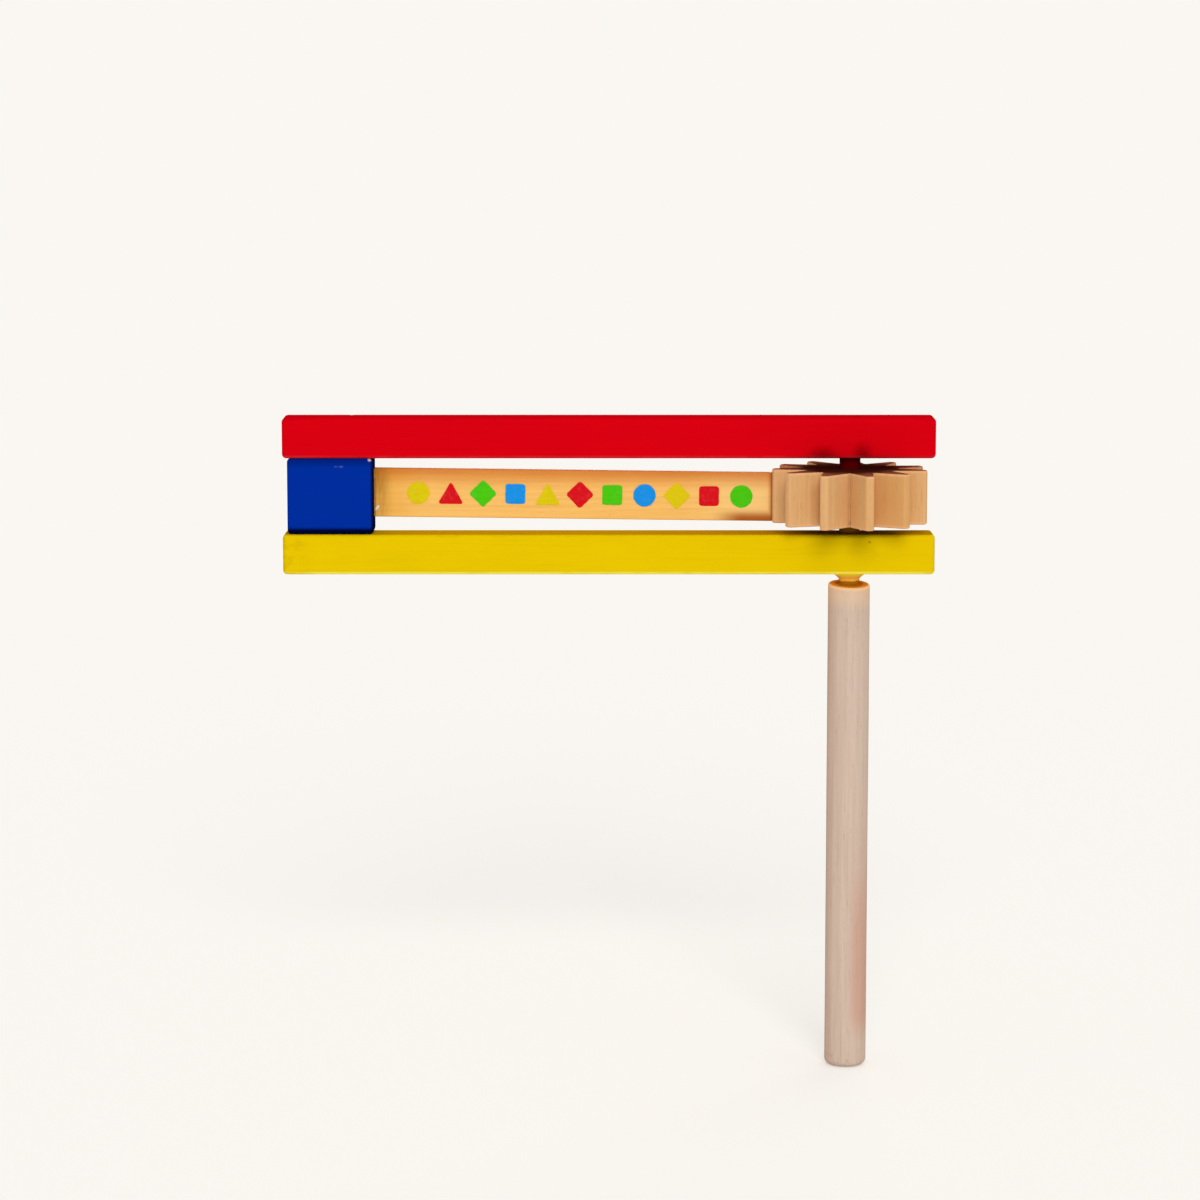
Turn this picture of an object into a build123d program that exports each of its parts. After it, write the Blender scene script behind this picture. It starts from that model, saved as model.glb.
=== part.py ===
from build123d import *
import os
from math import asin, cos, degrees, radians, sin, sqrt

# A wooden gragger: a noisemaker that is whirled by its handle.
# A frame of two bars and an end block swings round a star cog that is fixed to the handle's spindle,
# and a springy reed in the block's saw cut snaps from tooth to tooth.
# Millimetres, +Z up. The origin is the centre of the handle's lower end, on the spindle's axis.
# The bars run along X, with the end block at -X and the cog near +X. The front is -Y.

# Handle: a bare round dowel
handle_diameter = 10.5
handle_length = 123.5
handle_foot_chamfer = 1.3
handle_shoulder_chamfer = 0.5

# Spindle: a thin dowel glued into the handle's upper end
spindle_diameter = 5.2
spindle_socket_depth = 25.0
spindle_recess = 0.6
spindle_end_chamfer = 0.5

# Frame: two painted square sticks nailed to a block
shoulder_gap = 2.2
bar_length = 162.0
bar_height = 10.1
bar_depth = 10.0
bar_edge_radius = 1.1
bar_tail = 21.0
block_length = 21.4
block_inset = 1.2
block_setback = 0.1
block_edge_radius = 1.0
kerf_backing = 7.4

# Star cog: a slice of fluted moulding
cog_teeth = 11
cog_tip_radius = 19.5
cog_root_radius = 11.7
cog_tip_width = 2.0
cog_tip_rounding = 0.4
cog_root_rounding = 0.5
cog_thickness = 13.5
cog_gap_below = 2.5
cog_gap_above = 2.9

# Reed: a thin slat that stands on edge, a little askew, with its tip behind one of the cog's teeth
reed_height = 12.2
reed_thickness = 1.8
reed_edge_radius = 0.3
reed_bite = 0.5
reed_lean = 0.75
reed_swing = 0.8
reed_tooth_gap = 0.3

# Nails that hold the block, and the brad that locks the cog to the spindle
nail_diameter = 1.4
nail_length = 19.0
nail_head_diameter = 2.8
nail_head_thickness = 0.5
nail_sink = 0.2
nail_point = 1.6
nail_tip_diameter = 0.3
nail_spacing = 10.0
brad_diameter = 1.5
brad_sink = 0.3
brad_reach = 1.2

# Clearances, each on one side
glue_gap = 0.05
running_clearance = 0.1
kerf_clearance = 0.1
nail_clearance = 0.02

# Levels along the spindle
spindle_floor = handle_length - spindle_socket_depth
lower_bar_floor = handle_length + shoulder_gap
window_floor = lower_bar_floor + bar_height
cog_floor = window_floor + cog_gap_below
cog_middle = cog_floor + cog_thickness / 2
cog_ceiling = cog_floor + cog_thickness
window_ceiling = cog_ceiling + cog_gap_above
window_middle = (window_floor + window_ceiling) / 2
upper_bar_ceiling = window_ceiling + bar_height
spindle_ceiling = upper_bar_ceiling - spindle_recess
block_height = window_ceiling - window_floor

# Places along the bars
bar_middle = bar_tail - bar_length / 2
block_left = bar_tail - bar_length + block_inset
block_right = block_left + block_length
block_middle = (block_left + block_right) / 2
block_depth = bar_depth - 2 * block_setback

# The saw cut swings a little to the back from the middle of the block's inner face
kerf_width = reed_thickness + 2 * kerf_clearance
kerf_depth = block_length - kerf_backing
swing = radians(reed_swing)
kerf_plane = Plane((block_right, 0, window_floor), x_dir=(cos(swing), sin(swing), 0), z_dir=(0, 0, 1))

# The reed is glued into the saw cut, and its tip stands just inside the circle of the cog's tips
reed_tip = reed_bite - cog_tip_radius
reed_free_length = (reed_tip - block_right) / cos(swing)
reed_length = reed_free_length + kerf_depth - kerf_clearance
reed_tip_radius = 0.45 * reed_thickness
reed_tip_across = reed_free_length * sin(swing)
free_middle = (block_right + reed_tip) / 2
lean = radians(reed_lean)
reed_plane = Plane(
    (free_middle, reed_tip_across / 2, window_middle),
    x_dir=(cos(lean) * cos(swing), cos(lean) * sin(swing), -sin(lean)),
    z_dir=(sin(lean) * cos(swing), sin(lean) * sin(swing), cos(lean)),
)

# The cog is turned so that one tooth stands just in front of the reed's tip
pitch = 360 / cog_teeth
tip_across = cog_tip_width / 2
tooth_corner_angle = asin((reed_thickness / 2 + reed_tooth_gap - reed_tip_across) / cog_tip_radius)
first_tooth_angle = 180 + degrees(tooth_corner_angle + asin(tip_across / cog_tip_radius))

# The brad enters at the bottom of a tooth gap at the back and crosses the spindle
brad_angle = radians(first_tooth_angle - 2.5 * pitch)
brad_out = (cos(brad_angle), sin(brad_angle), 0)
brad_start = cog_root_radius - brad_sink
brad_length = brad_start + brad_reach
brad_plane = Plane((brad_start * brad_out[0], brad_start * brad_out[1], cog_middle), z_dir=brad_out)

# Nails go into the middle of the cheeks beside the saw cut, on opposite diagonals above and below
cheek_middle = (kerf_width + block_depth) / 4
half_spacing = nail_spacing / 2
upper_nail_planes = [
    Plane((block_middle + side * half_spacing, side * cheek_middle, upper_bar_ceiling), z_dir=(0, 0, 1))
    for side in (-1, 1)
]
lower_nail_planes = [
    Plane((block_middle + side * half_spacing, -side * cheek_middle, lower_bar_floor), z_dir=(0, 0, -1))
    for side in (-1, 1)
]

# Bores
glued_bore_radius = spindle_diameter / 2 + glue_gap
running_bore_radius = spindle_diameter / 2 + running_clearance
nail_hole_radius = nail_diameter / 2 + nail_clearance
nail_hole_depth = nail_sink + nail_length
nail_head_hole_radius = nail_head_diameter / 2 + nail_clearance
nail_head_hole_depth = nail_sink + nail_head_thickness
brad_hole_radius = brad_diameter / 2 + nail_clearance

below = (Align.CENTER, Align.CENTER, Align.MAX)


def make_bar(floor, nail_planes):
    """A square stick with eased edges, bored for the spindle and for the nails in its outer face."""
    with BuildPart() as bar:
        with BuildSketch(Plane.XY.offset(floor)):
            with Locations((bar_middle, 0)):
                Rectangle(bar_length, bar_depth)
        extrude(amount=bar_height)
        fillet(bar.edges(), bar_edge_radius)
        with Locations((0, 0, floor + bar_height)):
            Hole(running_bore_radius, depth=bar_height)
        with Locations(*nail_planes):
            CounterBoreHole(nail_hole_radius, nail_head_hole_radius, nail_head_hole_depth, depth=bar_height)
    return bar


def make_nails(nail_planes):
    """A pair of flat-headed nails, sunk a little below the bar's outer face."""
    with BuildPart() as nails:
        with Locations(*[plane.offset(-nail_sink) for plane in nail_planes]):
            Cylinder(nail_head_diameter / 2, nail_head_thickness, align=below)
            Cylinder(nail_diameter / 2, nail_length - nail_point, align=below)
        with Locations(*[plane.offset(nail_point - nail_hole_depth) for plane in nail_planes]):
            Cone(nail_tip_diameter / 2, nail_diameter / 2, nail_point, align=below)
    return nails


# Handle, with the spindle's socket in its upper end
with BuildPart() as handle:
    with BuildSketch(Plane.XY):
        Circle(handle_diameter / 2)
    extrude(amount=handle_length)
    chamfer(handle.edges().group_by(Axis.Z)[0], handle_foot_chamfer)
    chamfer(handle.edges().group_by(Axis.Z)[-1], handle_shoulder_chamfer)
    with Locations((0, 0, handle_length)):
        Hole(glued_bore_radius, depth=spindle_socket_depth)

# Spindle, from the bottom of the socket to just below the upper bar's top
with BuildPart() as spindle:
    with BuildSketch(Plane.XY.offset(spindle_floor)):
        Circle(spindle_diameter / 2)
    extrude(amount=spindle_ceiling - spindle_floor)
    chamfer(spindle.edges().filter_by(GeomType.CIRCLE), spindle_end_chamfer)
    with Locations(brad_plane):
        Hole(brad_hole_radius, depth=brad_length)

# One tooth of the cog: straight flanks from the bottom of each gap up to a round-backed tip
gap_along = cog_root_radius * cos(radians(pitch / 2))
gap_across = cog_root_radius * sin(radians(pitch / 2))
tip_along = sqrt(cog_tip_radius**2 - tip_across**2)
with BuildSketch() as tooth:
    with BuildLine():
        ThreePointArc((tip_along, -tip_across), (cog_tip_radius, 0), (tip_along, tip_across))
        Polyline(
            (tip_along, tip_across),
            (gap_along, gap_across),
            (0, 0),
            (gap_along, -gap_across),
            (tip_along, -tip_across),
        )
    make_face()

# Star cog, with eased tips and gap bottoms, bored for the spindle and the brad
with BuildPart() as cog:
    with BuildSketch(Plane.XY.offset(cog_floor)) as star:
        with PolarLocations(0, cog_teeth, start_angle=first_tooth_angle):
            add(tooth.sketch)
        fillet(star.vertices().sort_by_distance((0, 0))[:cog_teeth], cog_root_rounding)
        fillet(star.vertices().sort_by_distance((0, 0))[-2 * cog_teeth:], cog_tip_rounding)
    extrude(amount=cog_thickness)
    with Locations((0, 0, cog_ceiling)):
        Hole(glued_bore_radius, depth=cog_thickness)
    with Locations(brad_plane.offset(brad_sink)):
        Hole(brad_hole_radius, depth=brad_sink + brad_length)

# Brad that locks the cog to the spindle
with BuildPart() as cog_brad:
    with Locations(brad_plane):
        Cylinder(brad_diameter / 2, brad_length, align=below)

# The two bars and their nails
upper_bar = make_bar(window_ceiling, upper_nail_planes)
lower_bar = make_bar(lower_bar_floor, lower_nail_planes)
upper_nails = make_nails(upper_nail_planes)
lower_nails = make_nails(lower_nail_planes)

# End block, sawn down its inner face for the reed
with BuildPart() as end_block:
    with BuildSketch(Plane.XY.offset(window_floor)):
        with Locations((block_middle, 0)):
            Rectangle(block_length, block_depth)
    extrude(amount=block_height)
    fillet(end_block.edges(), block_edge_radius)
    with BuildSketch(kerf_plane):
        with Locations(((kerf_clearance - kerf_depth) / 2, 0)):
            Rectangle(kerf_depth + kerf_clearance, kerf_width)
    extrude(amount=block_height, mode=Mode.SUBTRACT)
    with Locations(*upper_nail_planes, *lower_nail_planes):
        Hole(nail_hole_radius, depth=nail_hole_depth)

# Reed, from the bottom of the saw cut to just inside the circle of the cog's tips
with BuildPart() as reed:
    with BuildSketch(reed_plane.offset(-reed_height / 2)) as slat:
        with Locations(((reed_free_length - reed_length) / 2, 0)):
            Rectangle(reed_length, reed_thickness)
        fillet(slat.vertices().sort_by(Axis.X)[-2:], reed_tip_radius)
    extrude(amount=reed_height)
    fillet(reed.faces().filter_by(reed_plane).edges(), reed_edge_radius)

pieces = {
    "handle": handle,
    "spindle": spindle,
    "cog": cog,
    "cog_brad": cog_brad,
    "upper_bar": upper_bar,
    "lower_bar": lower_bar,
    "upper_nails": upper_nails,
    "lower_nails": lower_nails,
    "end_block": end_block,
    "reed": reed,
}

os.makedirs("parts", exist_ok=True)
for name, piece in pieces.items():
    piece.part.label = name
    export_step(piece.part, f"parts/{name}.step")
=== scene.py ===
import math
import random

import bmesh
import bpy
from bpy.props import FloatProperty, FloatVectorProperty, IntProperty, PointerProperty
from mathutils import Matrix, Vector, noise


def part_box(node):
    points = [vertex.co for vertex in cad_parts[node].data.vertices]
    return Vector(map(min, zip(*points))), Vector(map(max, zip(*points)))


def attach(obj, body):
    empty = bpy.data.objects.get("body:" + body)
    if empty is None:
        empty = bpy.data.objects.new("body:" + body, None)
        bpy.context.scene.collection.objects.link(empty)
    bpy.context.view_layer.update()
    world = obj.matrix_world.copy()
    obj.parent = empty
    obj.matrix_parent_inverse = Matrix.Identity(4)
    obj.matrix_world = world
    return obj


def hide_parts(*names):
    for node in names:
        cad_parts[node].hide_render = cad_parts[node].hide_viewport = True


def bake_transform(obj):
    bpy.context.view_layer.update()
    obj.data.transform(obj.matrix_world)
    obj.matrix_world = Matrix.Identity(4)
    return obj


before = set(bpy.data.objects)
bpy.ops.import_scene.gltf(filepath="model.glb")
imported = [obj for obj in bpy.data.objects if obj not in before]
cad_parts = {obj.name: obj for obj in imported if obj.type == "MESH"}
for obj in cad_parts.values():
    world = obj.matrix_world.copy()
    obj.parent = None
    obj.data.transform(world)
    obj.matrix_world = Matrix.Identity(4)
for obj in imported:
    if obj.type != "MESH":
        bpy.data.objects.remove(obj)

bl_info = {
    "name": "Wooden Gragger",
    "version": (1, 0, 0),
    "blender": (4, 5, 0),
    "location": "3D View > Sidebar > Gragger",
    "description": "Models and paints the pieces of a wooden gragger round its packed frame",
    "category": "Add Mesh",
}

mm = 0.001

# Vertices that lie closer than this are merged
weld_distance = 0.0005 * mm

# Turns for a wood whose grain runs along the X axis or along the Z axis
along_x = (0, math.pi / 2, 0)
along_z = (0, 0, 0)

# Places read from the frame, in metres
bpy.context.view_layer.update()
handle_low, handle_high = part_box("handle")
cog_low, cog_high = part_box("cog")
upper_low, upper_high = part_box("upper_bar")
lower_low, lower_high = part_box("lower_bar")
block_low, block_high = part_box("end_block")
reed_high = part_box("reed")[1]
window_middle = (lower_high.z + upper_low.z) / 2

# The cog's teeth, found from the corners of its solid that lie furthest out
cog_corners = [vertex.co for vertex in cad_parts["cog"].data.vertices]
cog_tip_radius = max(math.hypot(corner.x, corner.y) for corner in cog_corners)
cog_tips = [corner for corner in cog_corners if math.hypot(corner.x, corner.y) > 0.99 * cog_tip_radius]


def srgb(red, green, blue):
    """The linear colour of a screen colour in steps of 0 to 255."""
    steps = [step / 255 for step in (red, green, blue)]
    return tuple(step / 12.92 if step <= 0.04045 else ((step + 0.055) / 1.055) ** 2.4 for step in steps)


def opaque(colour, shade=1.0):
    """A colour with its alpha, made darker or paler by one factor or by three."""
    shades = shade if isinstance(shade, tuple) else (shade, shade, shade)
    return (*[min(1.0, part * factor) for part, factor in zip(colour, shades)], 1.0)


def size_property(description, size):
    """A length in millimetres that a user may change."""
    return FloatProperty(description=description, default=size * mm, min=0, unit="LENGTH", precision=5)


def angle_property(description, angle):
    """An angle in degrees that a user may change."""
    return FloatProperty(description=description, default=math.radians(angle), subtype="ANGLE")


def colour_property(description, *colour):
    """A screen colour that a user may change."""
    linear = srgb(*colour)
    return FloatVectorProperty(description=description, default=linear, subtype="COLOR", min=0, max=1)


class GraggerSizes(bpy.types.PropertyGroup):
    """Sizes of the pieces that are modelled here."""

    handle_foot_rounding: size_property("Rounding of the handle's lower end", 1.5)
    handle_shoulder_rounding: size_property("Rounding of the handle's upper end", 0.5)
    handle_waviness: size_property("How far the dowel strays from a cylinder", 0.06)
    handle_front_drop: size_property("Drop of the handle's upper end to the front", 1.0)
    handle_side_drop: size_property("Drop of the handle's upper end to the right", 0.3)
    socket_radius: size_property("Radius of the spindle's socket", 2.65)
    socket_depth: size_property("Depth of the spindle's socket", 25)
    cog_teeth: IntProperty(description="Number of teeth on the star cog", default=11, min=3)
    cog_root_radius: size_property("Radius at the bottom of the tooth gaps", 11.7)
    cog_tip_width: size_property("Width of a tooth at its tip", 2.0)
    cog_tip_rounding: size_property("Rounding of a tooth's tip", 0.55)
    cog_root_rounding: size_property("Rounding of a tooth gap's bottom", 0.3)
    cog_rim_easing: size_property("Rounding of the cog's rims", 0.45)
    cog_unevenness: size_property("How much the hand-sanded teeth differ", 0.16)
    reed_height: size_property("Height of the slat", 12.2)
    reed_thickness: size_property("Thickness of the slat", 1.8)
    reed_root_depth: size_property("Length inside the block's saw cut", 13.9)
    reed_edge_rounding: size_property("Rounding along the slat's edges", 0.3)
    reed_lean: angle_property("How far the slat dips towards the cog", 0.75)
    reed_swing: angle_property("How far the slat swings behind a tooth", 0.8)
    reed_bend_length: size_property("Length over which the slat bends", 60)
    mark_count: IntProperty(description="Number of painted marks on the reed", default=11, min=1)
    mark_film: size_property("Thickness of the painted marks", 0.12)
    nail_head_radius: size_property("Radius of a nail's head", 1.4)
    nail_head_thickness: size_property("Thickness of a nail's head", 0.5)
    nail_shank_radius: size_property("Radius of a nail's shank", 0.7)
    collar_reach: size_property("How far the collar stands out from the bore", 1.6)
    collar_drop: size_property("How far the collar hangs below the bar", 1.3)
    glue_radius: size_property("Radius of the bead beside the reed", 0.34)


class GraggerColours(bpy.types.PropertyGroup):
    """Colours of the woods, paints, glue and stage."""

    red_paint: colour_property("Upper bar", 217, 2, 18)
    yellow_paint: colour_property("Lower bar", 232, 197, 3)
    blue_paint: colour_property("End block", 2, 46, 158)
    dowel_wood: colour_property("Handle and spindle", 208, 186, 170)
    # Pink streak, and also the colour of the painted shade down the handle's left side
    dowel_heart_and_shade: colour_property("Pink streak in the handle", 205, 152, 130)
    cog_wood: colour_property("Star cog", 222, 174, 119)
    # Darker end grain, and painted shade, on the cog's upper and lower faces
    cog_end_grain_and_shade: colour_property("Upper and lower faces of the star cog", 144, 80, 54)
    reed_wood: colour_property("Varnished slat", 248, 193, 105)
    # Amber of the red bar's painted shadow along the slat's upper edge
    reed_amber: colour_property("Varnish along the slat's upper edge", 206, 110, 22)
    mark_red: colour_property("Red marks on the reed", 220, 12, 26)
    mark_green: colour_property("Green marks on the reed", 74, 205, 8)
    mark_yellow: colour_property("Yellow marks on the reed", 224, 204, 4)
    mark_blue: colour_property("Blue marks on the reed", 22, 148, 236)
    glue: colour_property("Dried glue", 186, 132, 52)
    glue_stain: colour_property("Glue soaked into the reed", 172, 108, 20)
    # Orange of the handle's upper end: glue stain and painted reflection of the lower bar
    shoulder_stain_and_reflection: colour_property("Upper end of the handle", 226, 138, 6)
    # Pale colour near the handle's upper end, and of the painted highlight round its rim
    shoulder_rim: colour_property("Rim of the handle's upper end", 252, 204, 154)
    # Brighter than the lower bar's yellow: painted light on the collar under it
    lit_collar_paint: colour_property("Paint collar under the lower bar", 255, 218, 44)
    # Amber of the spindle's neck: painted reflection of the lower bar
    neck_amber_reflection: colour_property("Varnish and glue on the spindle's neck", 250, 184, 74)
    steel: colour_property("Nails and brad", 176, 174, 170)
    floor: colour_property("Floor and background", 250, 247, 242)


def settings(context):
    """The sizes and the colours that the user has set."""
    return context.scene.gragger_sizes, context.scene.gragger_colours


class Nodes:
    """A node tree, with short calls for the nodes in it."""

    def __init__(self, tree):
        self.tree = tree

    def feed(self, socket, value):
        """Links what comes from another node, and sets what doesn't."""
        if isinstance(value, bpy.types.NodeSocket):
            self.tree.links.new(value, socket)
        else:
            socket.default_value = value

    def node(self, kind, inputs, **options):
        """Adds a node, sets its options and feeds its inputs by name or number."""
        made = self.tree.nodes.new(kind)
        for option, value in options.items():
            setattr(made, option, value)
        for socket, value in inputs.items():
            self.feed(made.inputs[socket], value)
        return made

    def sum(self, operation, first, *others):
        """Applies an operation to one number, or to some numbers one after another."""
        for other in others or (0.0,):
            first = self.node("ShaderNodeMath", {0: first, 1: other}, operation=operation).outputs[0]
        return first

    def times(self, *numbers):
        """The product of some numbers."""
        return self.sum("MULTIPLY", *numbers)

    def show_mix(self, output, share, first, second):
        """Puts out one shader laid over another."""
        blend = self.node("ShaderNodeMixShader", {0: share, 1: first.outputs[0], 2: second.outputs[0]})
        self.feed(self.tree.nodes[output].inputs["Surface"], blend.outputs[0])

    def seen_rays(self):
        """1 for rays that show a surface to the camera, in a reflection or through glass."""
        path = self.node("ShaderNodeLightPath", {}).outputs
        return self.sum("MAXIMUM", *[path[f"Is {ray} Ray"] for ray in ("Camera", "Glossy", "Transmission")])


class Look(Nodes):
    """One procedural material: patterns in the piece's own coordinates, and layers of colour and relief."""

    def __init__(self, name, tone=None):
        self.material = bpy.data.materials.new(name)
        self.material.use_nodes = True
        super().__init__(self.material.node_tree)
        self.shader = self.tree.nodes["Principled BSDF"]
        self.place = self.node("ShaderNodeTexCoord", {}).outputs["Object"]
        self.tone = tone
        self.relief = None

    def mapped(self, scale, turn=(0, 0, 0), shift=(0, 0, 0)):
        """The piece's own coordinates, scaled, then turned, then shifted."""
        inputs = {"Vector": self.place, "Scale": scale, "Rotation": turn, "Location": shift}
        return self.node("ShaderNodeMapping", inputs).outputs[0]

    def vector(self, operation, first, second=(0, 0, 0)):
        """Applies a vector operation. A length or dot product gives a number, and the rest a vector."""
        made = self.node("ShaderNodeVectorMath", {0: first, 1: second}, operation=operation)
        return made.outputs["Value" if operation in ("LENGTH", "DOT_PRODUCT") else "Vector"]

    def axis(self, name):
        """One of the piece's own coordinates."""
        return self.node("ShaderNodeSeparateXYZ", {0: self.place}).outputs[name]

    def out(self, vector):
        """Distance from the Z axis."""
        return self.vector("LENGTH", self.vector("MULTIPLY", vector, (1, 1, 0)))

    def noise(self, vector, detail, roughness=0.55):
        """Soft noise, from 0 to 1, one bump to each step of the vector."""
        inputs = {"Vector": vector, "Scale": 1.0, "Detail": detail, "Roughness": roughness}
        return self.node("ShaderNodeTexNoise", inputs).outputs[0]

    def speckle(self, scale, detail, shift=(0, 0, 0), roughness=0.55):
        """Soft noise in the piece's own coordinates, with as many bumps to a metre as the scale says."""
        return self.noise(self.mapped(scale, shift=shift), detail, roughness)

    def cells(self, scale):
        """Distance to the nearest of a scatter of points, as many to a metre as the scale says."""
        inputs = {"Vector": self.mapped((scale, scale, scale)), "Scale": 1.0}
        return self.node("ShaderNodeTexVoronoi", inputs).outputs["Distance"]

    def stray(self, value, wave, reach):
        """A value that a wave between 0 and 1 moves by up to half of a reach in millimetres either way."""
        return self.sum("ADD", value, self.times(self.sum("SUBTRACT", wave, 0.5), reach * mm))

    def band(self, value, low, high, start=0.0, end=1.0):
        """Goes smoothly from start to end as the value goes from low to high."""
        inputs = {"Value": value, "From Min": low, "From Max": high, "To Min": start, "To Max": end}
        return self.node("ShaderNodeMapRange", inputs, interpolation_type="SMOOTHSTEP").outputs[0]

    def near(self, value, place, first, last, share=1.0):
        """Goes smoothly from 0 to a share between two distances in millimetres past a place."""
        return self.band(value, place + first * mm, place + last * mm, 0.0, share)

    def spot(self, centre, radius, ragged, squeeze=(1, 1, 1), core=0.4):
        """1 in the core of a spot, fading to 0 at its ragged rim, with both lengths in millimetres."""
        off = self.vector("MULTIPLY", self.vector("SUBTRACT", self.place, centre), squeeze)
        distance = self.stray(self.vector("LENGTH", off), self.speckle((2500, 2500, 2500), 3), ragged)
        return self.band(distance, radius * mm, core * (radius * mm))

    def mix(self, share, first, second):
        """One colour laid over another."""
        return self.node("ShaderNodeMix", {0: share, 6: first, 7: second}, data_type="RGBA").outputs[2]

    def lay(self, share, colour, shade=1.0):
        """Lays a colour, or one that comes from another node, over the tone so far."""
        if not isinstance(colour, bpy.types.NodeSocket):
            colour = opaque(colour, shade)
        self.tone = self.mix(share, self.tone, colour)

    def emboss(self, height, strength, depth):
        """Adds a height map, some millimetres deep, to the relief so far."""
        inputs = {"Height": height, "Strength": strength, "Distance": depth * mm}
        if self.relief is not None:
            inputs["Normal"] = self.relief
        self.relief = self.node("ShaderNodeBump", inputs).outputs[0]

    def done(self, gloss, wave, smooth, rough):
        """Gives the shader its colour, relief and gloss, and a roughness that follows a wave."""
        values = {
            "Base Color": self.tone,
            "Normal": self.relief,
            "Specular IOR Level": gloss,
            "Roughness": self.band(wave, 0.3, 0.7, smooth, rough),
        }
        for name, value in values.items():
            self.feed(self.shader.inputs[name], value)
        return self.material


def wood(name, colour, turn, pith, ring_spacing, depths, relief):
    """Starts a look as wood, given how dark its rings, fibres and pores get and how far it is raised."""
    look = Look(name, opaque(colour, 1.07))
    grain = look.mapped((1, 1, 1), turn, (pith[0] * mm, pith[1] * mm, 0))

    def along_grain(across, along, detail, roughness=0.55):
        """Noise that is drawn out along the grain."""
        return look.noise(look.vector("MULTIPLY", grain, (across, across, along)), detail, roughness)

    wander = look.times(along_grain(45, 10, 2), 2.2)
    turns = look.sum("ADD", look.sum("DIVIDE", look.out(grain), ring_spacing * mm), wander)
    part = look.sum("FRACT", turns)
    rings = look.times(look.band(part, 0.1, 0.85), look.band(part, 1.0, 0.9))
    fibres = along_grain(1300, 32, 4, 0.6)
    fine = along_grain(5200, 140, 3)
    pores = look.band(along_grain(4200, 330, 1), 0.66, 0.76)
    ring_depth, fibre_depth, pore_depth = depths
    dark = (0.78, 0.70, 0.60)
    look.lay(look.times(rings, ring_depth), colour, dark)
    look.lay(look.band(fibres, 0.42, 0.72, 0.0, fibre_depth), colour, dark)
    look.lay(look.band(fine, 0.35, 0.75, 0.0, 0.6 * fibre_depth), colour, dark)
    look.lay(look.times(pores, pore_depth), colour, (0.50, 0.42, 0.34))
    look.emboss(look.sum("ADD", fibres, fine), 0.5, relief)
    look.emboss(look.sum("SUBTRACT", 1.0, pores), 0.6, relief)
    return look, fibres


def shoulder_plane(sizes):
    """The handle's sloping upper end: the vector that gives a point its level, and the cut's own level."""
    across = 2 * handle_high.x
    upward = Vector((sizes.handle_side_drop / across, -sizes.handle_front_drop / across, 1))
    return upward, handle_high.z - (sizes.handle_front_drop + sizes.handle_side_drop) / 2


def slope_shoulder(vertex, sizes):
    """Lowers a vertex from the handle's square end to its sloping cut."""
    upward, level = shoulder_plane(sizes)
    vertex.co.z += level - handle_high.z - upward.x * vertex.co.x - upward.y * vertex.co.y


def dowel_look(colours, sizes):
    """Bare pale dowel, with a pink streak low on one side and painted shade down its left side. Its upper
    end has a painted highlight round its rim. It is orange with glue soaked into the shoulder and with
    painted reflection of the lower bar, darker round the spindle as painted shadow.
    """
    look, fibres = wood("dowel_wood", colours.dowel_wood, along_z, (9, -14), 2.1, (0.20, 0.34, 0.30), 0.05)
    blotches = look.speckle((160, 160, 28), 3, (3, 1, 0))
    look.lay(look.band(blotches, 0.4, 0.75, 0.0, 0.30), colours.dowel_wood, 1.12)
    sideways = look.vector("DOT_PRODUCT", look.place, (0.78, -0.62, 0.0))
    side = look.near(look.sum("ADD", sideways, look.times(blotches, 2.5 * mm)), 0, 4.6, 6.4)
    height = look.axis("Z")
    streak = look.times(look.near(height, 0, 5, 14), look.near(height, 0, 62, 32), side, 0.6)
    look.lay(streak, colours.dowel_heart_and_shade)
    # Darker, warmer left side: painted shade
    look.lay(look.near(look.axis("X"), 0, -2.6, -5.0, 0.22), colours.dowel_heart_and_shade)
    dirt = look.speckle((900, 900, 500), 4)
    low_dirt = look.times(look.near(height, 0, 5, 0.5), look.band(dirt, 0.5, 0.72), 0.5)
    look.lay(low_dirt, colours.dowel_wood, 0.45)
    upward, shoulder = shoulder_plane(sizes)
    level = look.vector("DOT_PRODUCT", look.place, upward)
    look.lay(look.near(level, shoulder, -6.5, -2, 0.32), colours.shoulder_rim)
    # A pale band round the rim of the upper end: painted highlight
    rim = look.sum("ADD", level, look.times(dirt, 0.5 * mm))
    look.lay(look.near(rim, shoulder, -0.75, 0, 0.9), colours.shoulder_rim)
    out = look.out(look.place)
    # Orange top face: glue soaked in and painted reflection of the lower bar, darker round the spindle as
    # painted shadow
    inside = look.near(look.sum("ADD", out, look.times(dirt, 0.3 * mm)), 0, 5.05, 4.75, 0.95)
    soak = look.times(inside, look.near(level, shoulder, -0.45, -0.1))
    middle = opaque(colours.shoulder_stain_and_reflection, 0.42)
    look.lay(soak, look.mix(look.near(out, 0, 4.1, 2.8), opaque(colours.shoulder_stain_and_reflection), middle))
    return look.done(0.0, fibres, 0.56, 0.72)


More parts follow.
